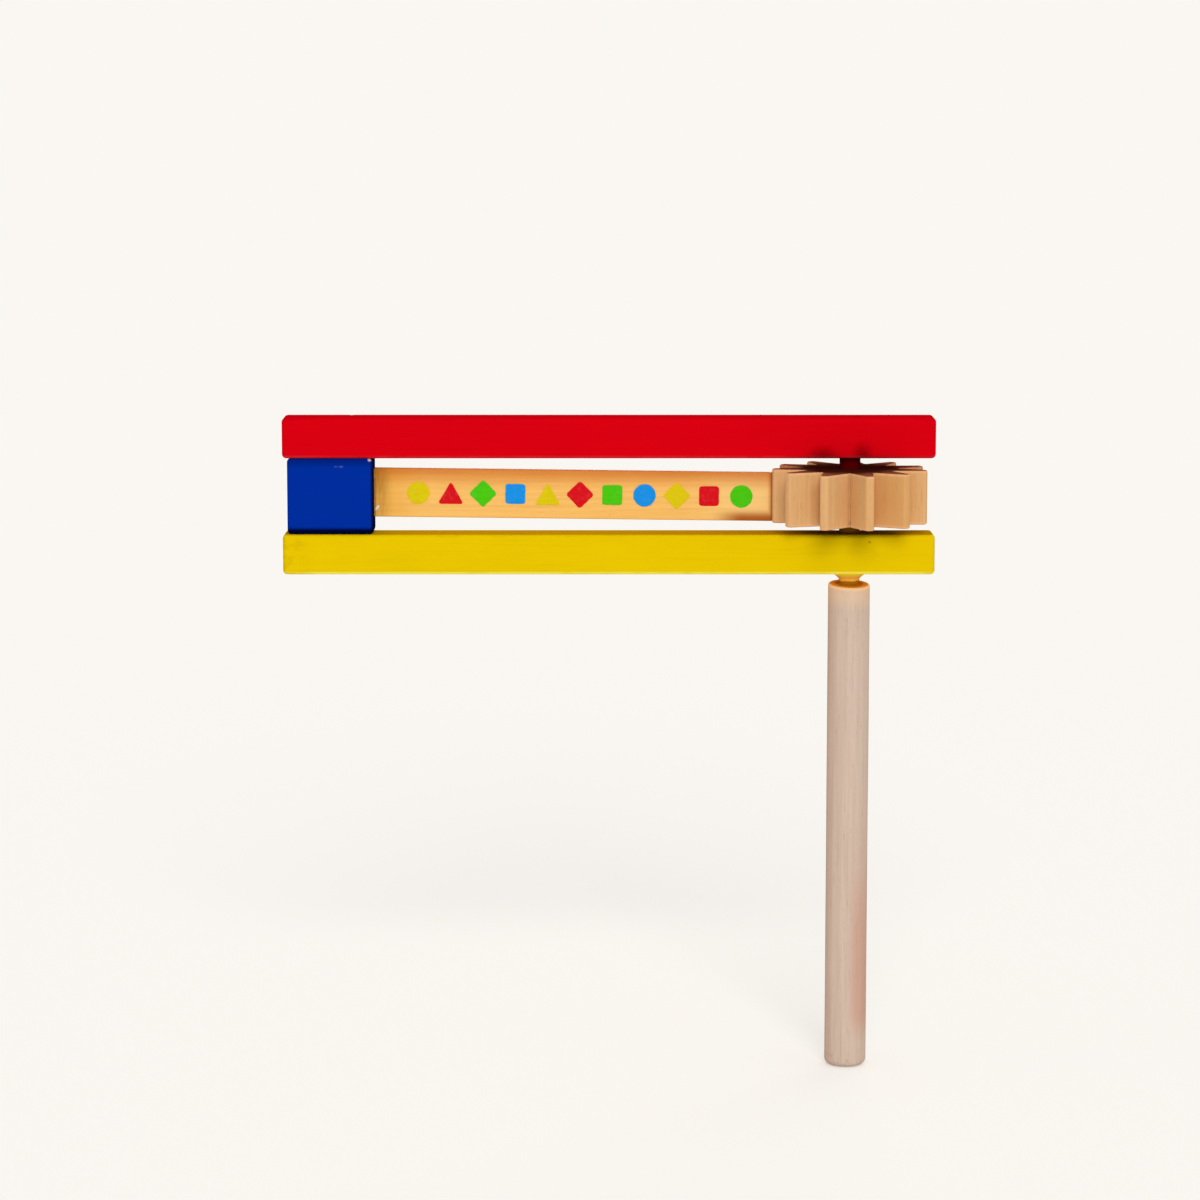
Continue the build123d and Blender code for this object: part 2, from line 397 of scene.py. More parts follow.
def spindle_look(colours):
    """Thin dowel, coated with each bar's paint on its outer side. Its neck is yellow and amber as paint and
    painted reflection of the lower bar. Between the bars it has painted shade, with painted reflection of
    the red bar above the cog. Glue and painted shade darken it at the handle, and its upper end is painted
    red.
    """
    look, fibres = wood("spindle_wood", colours.dowel_wood, along_z, (7, 11), 1.8, (0.20, 0.34, 0.30), 0.03)
    height = look.stray(look.axis("Z"), look.speckle((900, 900, 500), 3), 0.5)
    # Yellow: paint, and on the neck painted reflection of the lower bar
    look.lay(0.95, colours.yellow_paint)
    # Dark brown in the gap between the lower bar and the cog: painted shade
    look.lay(look.near(height, lower_high.z, -2, -1), srgb(150, 98, 22))
    # Amber on the neck below the lower bar: painted reflection of that bar
    look.lay(look.near(height, lower_low.z, -0.4, -1.2, 0.95), colours.neck_amber_reflection)
    # Darker just above the handle: glue, and painted shade at the joint
    look.lay(look.near(height, handle_high.z, 0.55, 0.05, 0.95), colours.shoulder_stain_and_reflection, 0.45)
    # Dark red between the cog and the upper bar: painted shade with painted reflection of that bar
    look.lay(look.band(height, window_middle, cog_high.z), colours.red_paint, 0.16)
    look.lay(look.near(height, upper_high.z, -3, -2), colours.red_paint, 0.8)
    return look.done(0.0, fibres, 0.42, 0.6)


def cog_look(colours):
    """Bare tan hardwood with short pores, paler where the rims and tips were sanded and with painted
    highlights there, with painted shade on the right-hand flanks, in the gap bottoms and on the end faces.
    """
    look, fibres = wood("cog_wood", colours.cog_wood, along_z, (21, 30), 1.7, (0.14, 0.26, 0.36), 0.06)
    blotches = look.speckle((230, 230, 90), 4, (5, 2, 7))
    look.lay(look.band(blotches, 0.45, 0.75, 0.0, 0.3), colours.cog_wood, 0.86)
    # Darker, more orange right-hand flanks: painted shade
    right = look.axis("X")
    right_flank_shade = look.times(look.near(right, 0, 0, 8, 0.6), look.near(right, 0, 17, 14))
    look.lay(right_flank_shade, srgb(214, 155, 88))
    height = look.axis("Z")
    # Paler rims and tips: sanding wear and painted highlights
    upper_rim = look.near(height, cog_high.z, -0.9, -0.35)
    lower_rim = look.near(height, cog_low.z, 0.9, 0.35)
    out = look.out(look.place)
    tips = look.times(look.near(out, cog_tip_radius, -1.2, -0.2), 0.25)
    worn_and_highlight = look.sum("MAXIMUM", upper_rim, lower_rim, tips)
    worn_and_highlight = look.times(worn_and_highlight, look.band(look.speckle((700, 700, 700), 3), 0.3, 0.65, 0.4, 0.85))
    look.lay(worn_and_highlight, colours.cog_wood, (1.2, 1.12, 1.25))
    # Darker at the bottoms of the tooth gaps: painted shade
    look.lay(look.near(out, 0, 12.4, 11.8, 0.4), colours.cog_wood, 0.55)
    # End faces: darker end grain and painted shade, turning dark red towards the spindle as painted shade
    # with painted reflection of the red bar
    deep_red_shade = opaque(colours.cog_end_grain_and_shade, (0.17, 0.03, 0.04))
    inside = look.near(look.stray(out, blotches, 9), 0, 17, 9)
    middle, half = (cog_low.z + cog_high.z) / 2, (cog_high.z - cog_low.z) / 2
    off_middle = look.sum("ABSOLUTE", look.sum("SUBTRACT", height, middle))
    end_face = look.near(off_middle, half, -0.12, -0.02, 0.98)
    look.lay(end_face, look.mix(inside, opaque(colours.cog_end_grain_and_shade), deep_red_shade))
    flaw = look.spot((-0.5 * mm, -11.8 * mm, cog_low.z + 1.1 * mm), 0.6, 0.5)
    look.lay(look.times(flaw, 0.5), colours.cog_wood, 0.35)
    return look.done(0.0, fibres, 0.62, 0.78)


def reed_look(colours, sizes):
    """Honey-coloured slat under varnish, amber along its upper edge as the red bar's painted shadow, with
    painted light and shade near the cog, and stained by glue at its root.
    """
    look, fibres = wood("reed_wood", colours.reed_wood, along_x, (-6, 24), 1.5, (0.18, 0.28, 0.2), 0.02)
    upward = Vector((math.sin(sizes.reed_lean), 0, math.cos(sizes.reed_lean)))
    middle = reed_place(sizes).translation.dot(upward)
    height = look.sum("SUBTRACT", look.vector("DOT_PRODUCT", look.place, upward), middle)
    half = sizes.reed_height / 2
    along = look.axis("X")
    root, tip = block_high.x, cog_low.x
    # Varnish that pooled near the block, painted light that pales the slat towards the cog, and the red
    # bar's painted shadow in amber along the upper edge
    look.lay(look.near(along, root, 14, 3, 0.45), srgb(238, 166, 44))
    look.lay(look.near(along, tip, -24, -4, 0.5), srgb(255, 222, 150))
    wavy = look.sum("ADD", height, look.times(look.speckle((60, 400, 400), 3), 1.6 * mm))
    look.lay(look.near(wavy, half, -4.4, 0.9, 0.75), colours.reed_amber)
    # Paler lower edge: painted highlight
    look.lay(look.near(height, -half, 1.8, 0.2, 0.35), colours.reed_wood, 1.12)
    # Painted shade along the lower edge and at the end beside the cog
    shade = look.times(look.near(along, tip, -16, -7), look.near(height, -half, 3.3, 0.6, 0.94))
    shade = look.sum("MAXIMUM", shade, look.near(along, tip, -1.2, 0.2, 0.7))
    look.lay(shade, srgb(174, 84, 2))
    # Streaks of glue at the root, and a thin painted shadow where it meets the block
    streaks = look.speckle((1500, 700, 130), 4, (4, 0, 0), 0.65)
    fade = look.near(look.stray(along, streaks, 3), root, 5.0, 1.6)
    fade = look.times(fade, look.band(height, -half, 0.5 * half, 0.55, 1.0))
    look.lay(look.times(fade, look.band(streaks, 0.3, 0.55, 0.12, 0.62)), colours.glue_stain)
    look.lay(look.near(along, root, 0.5, 0.1, 0.85), srgb(46, 32, 26))
    return look.done(0.1, fibres, 0.4, 0.52)


def paint_edges(look, low, high, width):
    """1 along the edges of a box-shaped stick, where two of its faces meet, and 0 elsewhere."""
    middle, half = (low + high) / 2, (high - low) / 2
    near = []
    for index, name in enumerate("XYZ"):
        off = look.sum("ABSOLUTE", look.sum("SUBTRACT", look.axis(name), middle[index]))
        near.append(look.band(off, half[index] - width, half[index] - 0.15 * width))
    x, y, z = near
    return look.sum("MAXIMUM", look.times(x, y), look.times(y, z), look.times(z, x))


def paint(name, colour, low, high):
    """Starts a look as satin paint on a sanded stick, with mottling, grain, thin edges and dust specks."""
    look = Look(name, opaque(colour))
    mottle = look.speckle((70, 260, 260), 4, (low.z * 900, 0, 0))
    cloud = look.speckle((24, 40, 40), 2, (0, low.z * 700, 0))
    grain = look.speckle((38, 1500, 1500), 3)
    look.lay(look.band(mottle, 0.4, 0.75, 0.0, 0.35), colour, 0.88)
    look.lay(look.band(cloud, 0.4, 0.7, 0.0, 0.35), colour, 1.06)
    look.lay(look.band(grain, 0.5, 0.75, 0.0, 0.25), colour, 0.82)
    rub = look.band(look.speckle((160, 900, 900), 4), 0.52, 0.72)
    look.lay(look.times(paint_edges(look, low, high, 1.3 * mm), rub, 0.5), colour, 0.72)
    look.emboss(grain, 0.25, 0.04)
    look.emboss(look.speckle((1500, 1500, 1500), 2), 0.18, 0.03)
    look.emboss(look.band(look.cells(330), 0.10, 0.03), 0.35, 0.05)
    return look, mottle


def edge_highlight(look, low, pale, depth):
    """A painted highlight along a bar's lower front edge, paler there and broken up by noise."""
    down = look.near(look.axis("Z"), low.z, 1.0, 0.35)
    front = look.near(look.axis("Y"), low.y, 1.2, 0.5)
    broken = look.band(look.speckle((90, 300, 300), 3), 0.35, 0.6, 0.4, 1.0)
    look.lay(look.times(down, front, look.times(broken, depth)), pale)


def red_look(colours):
    """Red paint of the upper bar, with soft painted shadows of the cog's front teeth just above them."""
    look, mottle = paint("red_paint", colours.red_paint, upper_low, upper_high)
    # Soft painted shadows of the cog's front teeth at the lower edge
    for shadow_x, squeeze in ((-7.0 * mm, (0.95, 1, 1.3)), (2.7 * mm, (1.4, 1, 1))):
        place = (shadow_x, upper_low.y, upper_low.z + 0.4 * mm)
        tooth_shadow = look.spot(place, 5.0, 1.8, squeeze, 0.0)
        look.lay(look.times(tooth_shadow, 0.75), colours.red_paint, 0.25)
    edge_highlight(look, upper_low, srgb(236, 70, 84), 0.3)
    return look.done(0.0, mottle, 0.5, 0.6)


def yellow_look(colours):
    """Yellow paint of the lower bar, scuffed olive at its left end, with painted shade on its top face and
    a dark fleck below the cog.
    """
    look, mottle = paint("yellow_paint", colours.yellow_paint, lower_low, lower_high)
    along = look.axis("X")
    scuffs = look.band(look.speckle((240, 400, 400), 5, (3.7, 1.9, 5.2), 0.6), 0.4, 0.68)
    look.lay(look.times(scuffs, look.near(along, lower_low.x, 9, 0), 0.34), srgb(158, 126, 8))
    # Browner top face between the block and the cog: painted shade
    top_shade = look.band(along, -60 * mm, -14 * mm, 0.42, 0.56)
    top = look.near(look.axis("Z"), lower_high.z, -0.3, -0.05)
    look.lay(look.times(top_shade, top), srgb(158, 80, 4))
    fleck = look.spot((4.7 * mm, lower_low.y, lower_high.z - 1.9 * mm), 0.42, 0.3)
    look.lay(look.times(fleck, 0.5), srgb(110, 84, 8))
    edge_highlight(look, lower_low, srgb(255, 246, 96), 0.9)
    return look.done(0.0, mottle, 0.5, 0.6)


def blue_look(colours):
    """Blue paint of the end block, with painted shade at its right and lower edges and under the upper bar,
    a chipped corner and two pale scratches.
    """
    look, mottle = paint("blue_paint", colours.blue_paint, block_low, block_high)
    # Painted shade: at the right edge, along the lower edge and under the upper bar
    look.lay(look.near(look.axis("X"), block_high.x, -0.9, -0.25, 0.9), colours.blue_paint, 0.08)
    height = look.axis("Z")
    look.lay(look.near(height, block_low.z, 2.1, 0.9, 0.97), colours.blue_paint, 0.05)
    look.lay(look.near(height, block_high.z, -2.8, -0.6, 0.6), colours.blue_paint, 0.42)
    corner = (block_high.x - 0.9 * mm, block_low.y + 0.3 * mm, block_high.z - 0.35 * mm)
    look.lay(look.times(look.spot(corner, 0.55, 0.7), 0.85), srgb(214, 196, 190))
    for scratch_x, depth in ((-127.6 * mm, 0.18), (-126.3 * mm, 0.34)):
        place = (scratch_x, block_low.y, block_high.z - 2.0 * mm)
        scratch = look.spot(place, 0.75, 0.3, (1, 1, 2), 0.0)
        look.lay(look.times(scratch, depth), srgb(120, 150, 214))
    return look.done(0.0, mottle, 0.5, 0.6)


def collar_look(colours):
    """Paint that ran down the spindle and dried thin, painted brighter than the bar's yellow as painted
    light, and amber where it ends as painted reflection of the lower bar.
    """
    look = Look("collar_paint", opaque(colours.lit_collar_paint))
    runs = look.speckle((700, 700, 350), 3)
    height = look.stray(look.axis("Z"), runs, 0.8)
    look.lay(look.near(height, lower_low.z, -0.2, -1.1), colours.neck_amber_reflection)
    look.emboss(runs, 0.3, 0.05)
    return look.done(0.05, runs, 0.45, 0.6)


def mark_look(name, colour):
    """Thick opaque paint put on by stencil, streaked and a little uneven."""
    look = Look(name, opaque(colour))
    streaks = look.speckle((500, 500, 2200), 4)
    blobs = look.speckle((900, 900, 900), 3)
    look.lay(look.band(streaks, 0.4, 0.75, 0.0, 0.55), colour, 0.82)
    look.lay(look.band(blobs, 0.5, 0.75, 0.0, 0.5), [0.9 * part + 0.05 for part in colour])
    look.emboss(look.sum("ADD", streaks, blobs), 0.4, 0.06)
    return look.done(0.06, blobs, 0.36, 0.5)


def glue_look(name, colour, gloss=0.1):
    """Dried glue: cloudy and full of tiny bubbles."""
    look = Look(name, opaque(colour, 0.72))
    cloud = look.speckle((1400, 1400, 900), 4)
    look.lay(look.band(cloud, 0.35, 0.7), colour, 1.18)
    look.lay(look.times(look.band(look.cells(3200), 0.32, 0.1), 0.5), colour, 1.5)
    look.emboss(cloud, 0.5, 0.08)
    return look.done(gloss, cloud, 0.3, 0.45)


def steel_look(colours):
    """Zinc-plated wire, spangled, with dull brown patches."""
    look = Look("nail_steel", opaque(colours.steel, 0.78))
    spangle = look.speckle((1900, 1900, 1900), 4)
    dull = look.speckle((700, 700, 700), 3)
    look.lay(look.band(spangle, 0.35, 0.7), colours.steel, 1.15)
    look.lay(look.band(dull, 0.55, 0.75, 0.0, 0.5), srgb(122, 104, 88))
    look.emboss(spangle, 0.4, 0.05)
    look.feed(look.shader.inputs["Metallic"], 0.9)
    return look.done(0.5, dull, 0.28, 0.5)


def paint_node(node, material):
    """Gives every material slot of a solid from the frame one look."""
    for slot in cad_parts[node].material_slots:
        slot.material = material


def add_object(name, data):
    """Adds an object to the scene."""
    made = bpy.data.objects.new(name, data)
    bpy.context.scene.collection.objects.link(made)
    return made


def to_mesh(name, shape):
    """Makes a mesh of a bmesh, and frees the bmesh."""
    mesh = bpy.data.meshes.new(name)
    shape.to_mesh(mesh)
    shape.free()
    return mesh


def make_piece(name, shape, material, sharp_angle=math.radians(38)):
    """Closes a bmesh, points its faces outwards and makes it a piece at the origin."""
    bmesh.ops.remove_doubles(shape, verts=shape.verts, dist=weld_distance)
    bmesh.ops.recalc_face_normals(shape, faces=shape.faces)
    mesh = to_mesh(name, shape)
    mesh.shade_smooth()
    mesh.set_sharp_from_angle(angle=sharp_angle)
    mesh.materials.append(material)
    piece = add_object(name, mesh)
    weighted = piece.modifiers.new("Weighted normals", "WEIGHTED_NORMAL")
    weighted.keep_sharp = True
    return piece


def add_profile(shape, points):
    """Adds a chain of edges through points of (radius, height), from the axis outwards."""
    corners = [shape.verts.new((radius, 0, height)) for radius, height in points]
    for pair in zip(corners, corners[1:]):
        shape.edges.new(pair)
    return corners


def spin_profile(shape, steps):
    """Turns the profile in a bmesh a full turn round the Z axis."""
    bmesh.ops.spin(
        shape, geom=shape.verts[:] + shape.edges[:], cent=(0, 0, 0), axis=(0, 0, 1),
        angle=2 * math.pi, steps=steps, use_merge=True,
    )


def round_corners(shape, corners, radius, segments):
    """Rounds some corners of a flat outline or of a profile."""
    bmesh.ops.bevel(
        shape, geom=corners, offset=radius, offset_type="OFFSET",
        segments=segments, profile=0.5, affect="VERTICES", material=-1,
    )


def round_edges(shape, edges, radius, segments, clamp=True):
    """Rounds some edges of a solid. The clamp keeps the rounding within the shortest edges beside it."""
    bmesh.ops.bevel(
        shape, geom=edges, offset=radius, offset_type="OFFSET",
        segments=segments, profile=0.5, affect="EDGES", clamp_overlap=clamp, material=-1,
    )


def thicken(shape, height):
    """Raises a flat shape into a solid, and points its faces outwards."""
    sides = bmesh.ops.extrude_face_region(shape, geom=shape.faces[:])["geom"]
    raised = [part for part in sides if isinstance(part, bmesh.types.BMVert)]
    bmesh.ops.translate(shape, verts=raised, vec=(0, 0, height))
    bmesh.ops.recalc_face_normals(shape, faces=shape.faces)


def cut_loops(shape, places, axis):
    """Cuts a solid across an axis at each of some places, so that it can bend or swell there."""
    for place in places:
        solid = shape.verts[:] + shape.edges[:] + shape.faces[:]
        bmesh.ops.bisect_plane(shape, geom=solid, plane_co=place * axis, plane_no=axis)


def merge_shape(target, part, matrix):
    """Adds a placed copy of one bmesh to another, and frees the first."""
    part.transform(matrix)
    mesh = to_mesh("part", part)
    target.from_mesh(mesh)
    bpy.data.meshes.remove(mesh)


class GRAGGER_OT_handle(bpy.types.Operator):
    """Models the dowel handle and finishes it and the spindle"""

    bl_idname = "gragger.handle"
    bl_label = "Handle and Spindle"

    side_cuts = 48
    turn_steps = 64
    sloping_length = 1.2 * mm

    # Waves to a metre along each axis
    waves = (120, 120, 45)

    def execute(self, context):
        sizes, colours = settings(context)
        radius = handle_high.x
        shoulder = handle_high.z
        socket = shoulder - sizes.socket_depth
        shape = bmesh.new()
        points = ((0, 0), (radius, 0), (radius, shoulder), (sizes.socket_radius, shoulder))
        corners = add_profile(shape, (*points, (sizes.socket_radius, socket), (0, socket)))
        foot_corner, shoulder_corner = corners[1:3]
        round_corners(shape, [foot_corner], sizes.handle_foot_rounding, 5)
        round_corners(shape, [shoulder_corner], sizes.handle_shoulder_rounding, 3)
        side = max(shape.edges, key=lambda edge: edge.calc_length())
        bmesh.ops.subdivide_edges(shape, edges=[side], cuts=self.side_cuts)
        spin_profile(shape, self.turn_steps)
        for vertex in shape.verts:
            out = Vector((vertex.co.x, vertex.co.y, 0))
            if out.length > 0.7 * radius:
                place = Vector([part * waves for part, waves in zip(vertex.co, self.waves)])
                vertex.co -= out.normalized() * sizes.handle_waviness * (0.5 + 0.5 * noise.noise(place))
            if vertex.co.z > shoulder - self.sloping_length:
                slope_shoulder(vertex, sizes)
        piece = make_piece("handle_dowel", shape, dowel_look(colours, sizes))
        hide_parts("handle")
        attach(piece, "handle")
        paint_node("spindle", spindle_look(colours))
        return {"FINISHED"}


class GRAGGER_OT_cog(bpy.types.Operator):
    """Models the star cog with sanded rims and slightly uneven teeth"""

    bl_idname = "gragger.cog"
    bl_label = "Star Cog"

    rounding_steps = 3

    # How far each tooth, and the gap after it, stray from an even pitch, in degrees
    tooth_strays = (0.4, -0.6, 0.5, -0.4, 0.7, -0.5, 0.0, -1.0, -0.7, 1.1, 0.8)
    gap_strays = (-0.5, 0.8, -0.7, 0.4, -0.9, 0.6, 0.5, -0.8, 2.2, -0.4, 0.3)

    def execute(self, context):
        sizes, colours = settings(context)
        teeth = sizes.cog_teeth
        pitch = 2 * math.pi / teeth
        turns = [teeth * math.atan2(tip.y, tip.x) for tip in cog_tips]
        first_tooth = math.atan2(sum(map(math.sin, turns)), sum(map(math.cos, turns))) / teeth
        draw = random.Random(11)
        shape = bmesh.new()
        ring = bmesh.ops.create_circle(shape, segments=3 * teeth, radius=cog_tip_radius)["verts"]
        for tooth in range(teeth):
            even = first_tooth + tooth * pitch
            centre = even + math.radians(self.tooth_strays[tooth % len(self.tooth_strays)])
            gap = even + pitch / 2 + math.radians(self.gap_strays[tooth % len(self.gap_strays)])
            tip_radius = cog_tip_radius - draw.uniform(0, sizes.cog_unevenness)
            half_tip = math.asin(sizes.cog_tip_width * draw.uniform(0.88, 1.12) / 2 / tip_radius)
            root_radius = sizes.cog_root_radius + draw.uniform(-1, 1) * sizes.cog_unevenness
            places = ((tip_radius, centre - half_tip), (tip_radius, centre + half_tip))
            for corner, (out, angle) in enumerate((*places, (root_radius, gap))):
                ring[3 * tooth + corner].co = (out * math.cos(angle), out * math.sin(angle), 0)
        round_corners(shape, ring[0::3] + ring[1::3], sizes.cog_tip_rounding, self.rounding_steps)
        round_corners(shape, ring[2::3], sizes.cog_root_rounding, self.rounding_steps)
        bmesh.ops.create_circle(shape, segments=len(shape.verts), radius=sizes.socket_radius)
        bmesh.ops.bridge_loops(shape, edges=shape.edges[:])
        thicken(shape, cog_high.z - cog_low.z)
        bmesh.ops.translate(shape, verts=shape.verts, vec=(0, 0, cog_low.z))
        rims = [edge for edge in shape.edges if self.is_rim(edge, 2 * sizes.socket_radius)]
        round_edges(shape, rims, sizes.cog_rim_easing, self.rounding_steps, clamp=False)
        piece = make_piece("star_cog", shape, cog_look(colours))
        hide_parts("cog")
        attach(piece, "handle")
        return {"FINISHED"}

    @staticmethod
    def is_rim(edge, inner_radius):
        """True where an upright outer face meets the upper or lower face."""
        if len(edge.link_faces) != 2 or edge.verts[0].co.xy.length < inner_radius:
            return False
        rises = sorted(abs(face.normal.z) for face in edge.link_faces)
        return rises[0] < 0.1 and rises[1] > 0.9


class GRAGGER_OT_bars(bpy.types.Operator):
    """Paints the two bars, and models the paint collar under the lower one's bore"""

    bl_idname = "gragger.bars"
    bl_label = "Painted Bars"

    # The collar's gap round the spindle, its overlap with the bar and its thickness at the lower edge
    clearance = 0.08 * mm
    overlap = 0.05 * mm
    lip = 0.12 * mm
    flare_steps = 7
    flare_power = 1.3
    turn_steps = 48

    def execute(self, context):
        sizes, colours = settings(context)
        paint_node("upper_bar", red_look(colours))
        paint_node("lower_bar", yellow_look(colours))
        shape = bmesh.new()
        bore = sizes.socket_radius + self.clearance
        edge = bore + self.lip
        ceiling = lower_low.z + self.overlap
        floor = lower_low.z - sizes.collar_drop
        profile = [(bore, floor), (edge, floor)]
        for step in range(1, self.flare_steps + 1):
            rise = step / self.flare_steps
            flare = sizes.collar_reach * rise ** self.flare_power
            profile.append((edge + flare, floor + (lower_low.z - floor) * rise))
        profile += [(edge + sizes.collar_reach, ceiling), (bore, ceiling), (bore, floor)]
        add_profile(shape, profile)
        spin_profile(shape, self.turn_steps)
        collar = make_piece("paint_collar", shape, collar_look(colours))
        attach(collar, "frame")
        return {"FINISHED"}


class GRAGGER_OT_block(bpy.types.Operator):
    """Paints the end block"""

    bl_idname = "gragger.block"
    bl_label = "End Block"

    def execute(self, context):
        paint_node("end_block", blue_look(context.scene.gragger_colours))
        return {"FINISHED"}


class GRAGGER_OT_nails(bpy.types.Operator):
    """Models the nails with their hammered heads, and finishes the brad"""

    bl_idname = "gragger.nails"
    bl_label = "Nails and Brad"

    # Height of a head's dome, and how far its top lies below the bar's face
    crown = 0.1 * mm
    sink = 0.22 * mm
    turn_steps = 32

    def execute(self, context):
        sizes, colours = settings(context)
        steel = steel_look(colours)
        paint_node("cog_brad", steel)
        head = sizes.nail_head_radius
        for node, up in (("upper_nails", 1), ("lower_nails", -1)):
            low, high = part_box(node)
            sides = (low.y + head, high.y - head)[::up]
            nails = bmesh.new()
            for x, y in ((low.x + head, sides[0]), (high.x - head, sides[1])):
                place = Matrix.Translation((x, y, high.z if up > 0 else low.z))
                flip = Matrix.Identity(4) if up > 0 else Matrix.Rotation(math.pi, 4, "X")
                merge_shape(nails, self.nail(sizes, high.z - low.z), place @ flip)
            piece = make_piece("domed_" + node, nails, steel)
            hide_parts(node)
            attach(piece, "frame")
        return {"FINISHED"}

    def nail(self, sizes, length):
        """One nail that hangs below the origin, with a flat-hammered, domed head."""
        head, thick, shank = sizes.nail_head_radius, sizes.nail_head_thickness, sizes.nail_shank_radius
        shape = bmesh.new()
        falls = ((0, 0), (0.45, 0.1), (0.8, 0.5), (1, 1))
        dome = [(out * head, -self.sink - fall * self.crown) for out, fall in falls]
        under = ((head, -0.9 * thick), (0.93 * head, -thick), (1.25 * shank, -thick), (shank, -1.5 * thick))
        add_profile(shape, (*dome, *under, (shank, -length + 2 * shank), (0, -length)))
        spin_profile(shape, self.turn_steps)
        bmesh.ops.remove_doubles(shape, verts=shape.verts, dist=weld_distance)
        return shape


def reed_free_length(sizes):
    """Length of the slat from the block to its tip."""
    tip = reed_high.x - sizes.reed_height / 2 * math.sin(sizes.reed_lean)
    return (tip - block_high.x) / math.cos(sizes.reed_swing)


def reed_place(sizes):
    """The slat's own axes: X along it, Y through it and Z up it, from the middle of its free length."""
    turn = Matrix.Rotation(sizes.reed_swing, 4, "Z")
    middle = Vector((block_high.x, 0, window_middle)) + turn @ Vector((reed_free_length(sizes) / 2, 0, 0))
    return Matrix.Translation(middle) @ turn @ Matrix.Rotation(sizes.reed_lean, 4, "Y")


def root_middle(sizes):
    """Height of the slat's middle where it leaves the block."""
    return window_middle + math.sin(sizes.reed_lean) * reed_free_length(sizes) / 2


def bend_with_reed(piece):
    """Bakes a piece's placement into its mesh."""
    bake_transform(piece)


class GRAGGER_OT_reed(bpy.types.Operator):
    """Models the springy slat, cut into short lengths so that it can bend"""

    bl_idname = "gragger.reed"
    bl_label = "Reed"

    lengths = 56

    def execute(self, context):
        sizes, colours = settings(context)
        tip = reed_free_length(sizes) / 2
        root = -tip - sizes.reed_root_depth
        shape = bmesh.new()
        stretch = Matrix.Diagonal((tip - root, sizes.reed_thickness, sizes.reed_height, 1))
        bmesh.ops.create_cube(shape, size=1, matrix=Matrix.Translation(((root + tip) / 2, 0, 0)) @ stretch)
        at_tip = [edge for edge in shape.edges if all(vertex.co.x > tip - mm for vertex in edge.verts)]
        upright = [edge for edge in at_tip if abs(edge.verts[0].co.z - edge.verts[1].co.z) > mm]
        round_edges(shape, upright, 0.45 * sizes.reed_thickness, 6)
        outline = [
            edge for edge in shape.edges if any(abs(face.normal.z) > 0.9 for face in edge.link_faces)
        ]
        round_edges(shape, outline, sizes.reed_edge_rounding, 3)
        cuts = [root + (tip - root) * step / self.lengths for step in range(1, self.lengths)]
        cut_loops(shape, cuts, Vector((1, 0, 0)))
        shape.transform(reed_place(sizes))
        piece = make_piece("reed_slat", shape, reed_look(colours, sizes))
        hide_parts("reed")
        bend_with_reed(piece)
        return {"FINISHED"}


class GRAGGER_OT_marks(bpy.types.Operator):
    """Models a row of plain painted shapes along the reed's front"""

    bl_idname = "gragger.marks"
    bl_label = "Painted Marks"

    paints = ("mark_yellow", "mark_red", "mark_green", "mark_blue")

    # Corners, radius and turn of a disc, a triangle, a lozenge and a square
    motifs = (
        (30, 2.8 * mm, 0),
        (3, 3.7 * mm, 0),
        (4, 3.5 * mm, 0),
        (4, 3.5 * mm, math.pi / 4),
    )

    # Room left free at the reed's root and at its tip
    root_room = 11 * mm
    tip_room = 8 * mm

    # Raggedness of a film's outline, and the widths of its raised rim and of the slope inside it
    ragged = 0.09 * mm
    rim_width = 0.16 * mm
    slope_width = 0.3 * mm

    # Seed of the ragged outlines, which would otherwise differ each time
    outline_seed = 11

    def execute(self, context):
        sizes, colours = settings(context)
        noise.seed_set(self.outline_seed)
        shapes = {paint: bmesh.new() for paint in self.paints}
        half = reed_free_length(sizes) / 2
        first, last = self.root_room - half, half - self.tip_room
        front = -sizes.reed_thickness / 2
        for index in range(sizes.mark_count):
            corners, radius, turn = self.motifs[(index + index // 4) % len(self.motifs)]
            along = first + (last - first) * index / max(1, sizes.mark_count - 1)
            drop = -0.22 * radius if corners == 3 else 0
            stand = Matrix.Translation((along, front, drop)) @ Matrix.Rotation(math.pi / 2, 4, "X")
            motif = self.film(corners, radius, sizes.mark_film, index)
            placed = reed_place(sizes) @ stand @ Matrix.Rotation(turn, 4, "Z")
            merge_shape(shapes[self.paints[index % len(self.paints)]], motif, placed)
        for paint, shape in shapes.items():
            piece = make_piece("reed_" + paint, shape, mark_look(paint, getattr(colours, paint)))
            bend_with_reed(piece)
        return {"FINISHED"}

    def film(self, corners, radius, thickness, seed):
        """A film of paint with a ragged outline and a rim that dried thicker than its middle."""
        shape = bmesh.new()
        bmesh.ops.create_circle(shape, cap_ends=True, segments=corners, radius=radius)
        if corners < 12:
            round_corners(shape, shape.verts[:], 0.2 * radius, 4)
            sides = [edge for edge in shape.edges if edge.calc_length() > 0.5 * radius]
            bmesh.ops.subdivide_edges(shape, edges=sides, cuts=6)
        for vertex in shape.verts:
            stray = noise.noise_vector(Vector((vertex.co.x * 1400, vertex.co.y * 1400, 7.3 * seed)))
            vertex.co += self.ragged * Vector((stray.x, stray.y, 0))
        thicken(shape, thickness)
        top = [face for face in shape.faces if face.normal.z > 0.9]
        for width, rise in ((self.rim_width, 0.3 * thickness), (self.slope_width, -0.4 * thickness)):
            bmesh.ops.inset_region(shape, faces=top, thickness=width, depth=rise, use_even_offset=True)
        return shape


